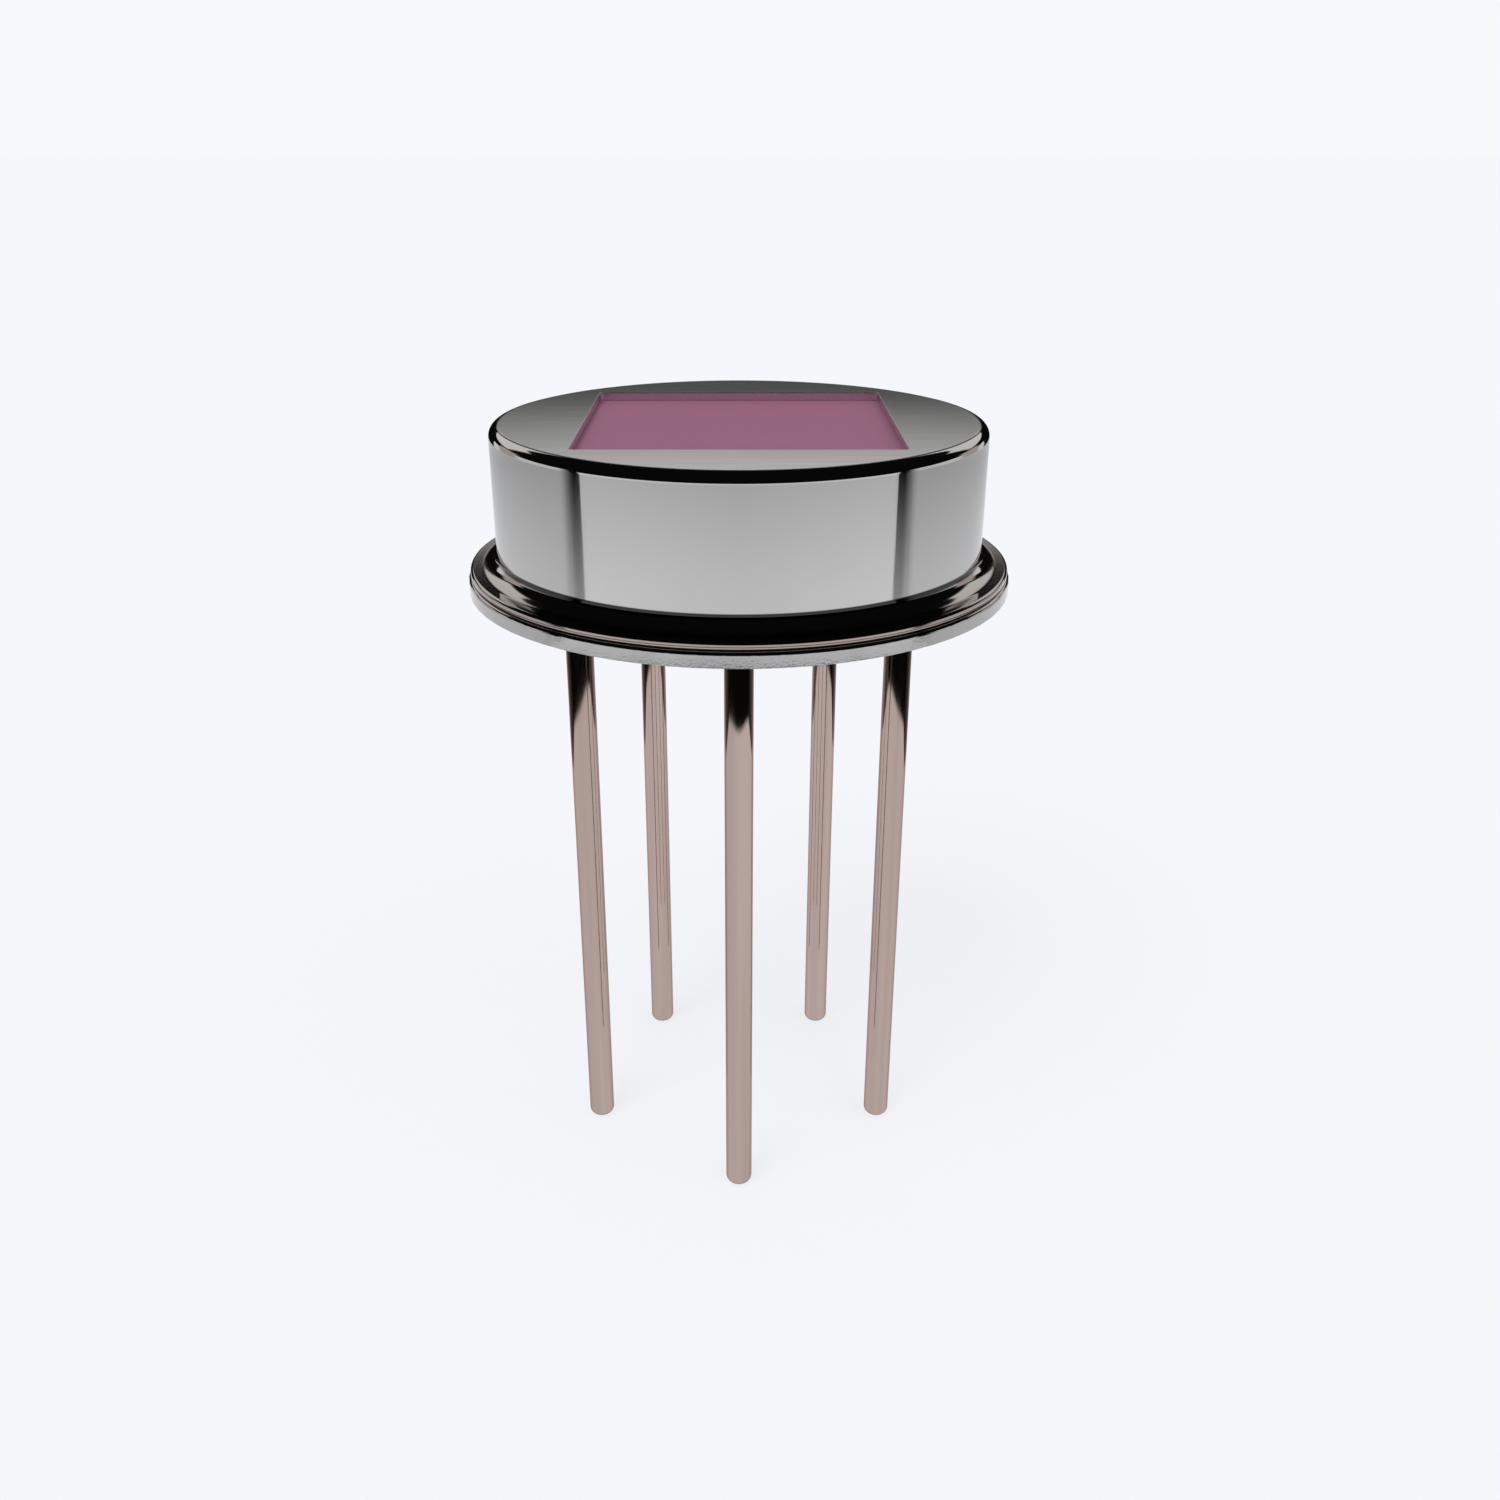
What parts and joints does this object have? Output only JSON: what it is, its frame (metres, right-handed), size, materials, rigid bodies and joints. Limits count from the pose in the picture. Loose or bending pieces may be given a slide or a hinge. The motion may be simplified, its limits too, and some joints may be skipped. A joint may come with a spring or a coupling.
{
  "type": "silicon photomultiplier",
  "caption": "Light sensor in a low round metal can: a flanged cap with a square coated window on a header with straight leads.",
  "frame": {"origin": "centre of the lead circle on the header's underside, which is the seating plane", "axes": "+Z along the can's axis towards the window, +Y towards the index tab"},
  "size_m": [0.0094, 0.0103, 0.0138],
  "materials": {
    "header_plate": "warm satin plate",
    "cap_nickel": "smooth nickel plate",
    "window_glass": "polished, purple filter coat",
    "seal_compound": "matt",
    "lead_plate": "warm satin plate",
    "bead_glass": "glossy dark sealing glass",
    "braze": "satin",
    "clear_adhesive": "glossy",
    "alumina": "fine matt ceramic",
    "gold": "satin gold",
    "silver_adhesive": "satin, metal filled",
    "silicon": "polished, fine microcell grid",
    "die_metal": "bright",
    "thermistor_ceramic": "matt"
  },
  "bodies": {
    "root": {"header": "header_plate", "cap": "cap_nickel", "window": "window_glass", "window_seal": "seal_compound", "lead_1": "lead_plate", "lead_2": "lead_plate", "lead_3": "lead_plate", "lead_4": "lead_plate", "lead_5": "lead_plate", "bead_1": "bead_glass", "bead_2": "bead_glass", "bead_4": "bead_glass", "bead_5": "bead_glass", "case_braze": "braze", "carrier_bond": "clear_adhesive", "carrier": "alumina", "die_land": "gold", "thermistor_land": "gold", "die_attach": "silver_adhesive", "sipm_die": "silicon", "anode_bus": "die_metal", "thermistor_attach": "silver_adhesive", "thermistor": "thermistor_ceramic", "anode_wire": "gold", "cathode_wire": "gold", "thermistor_wire": "gold", "land_wire": "gold"}
  },
  "joints": []
}
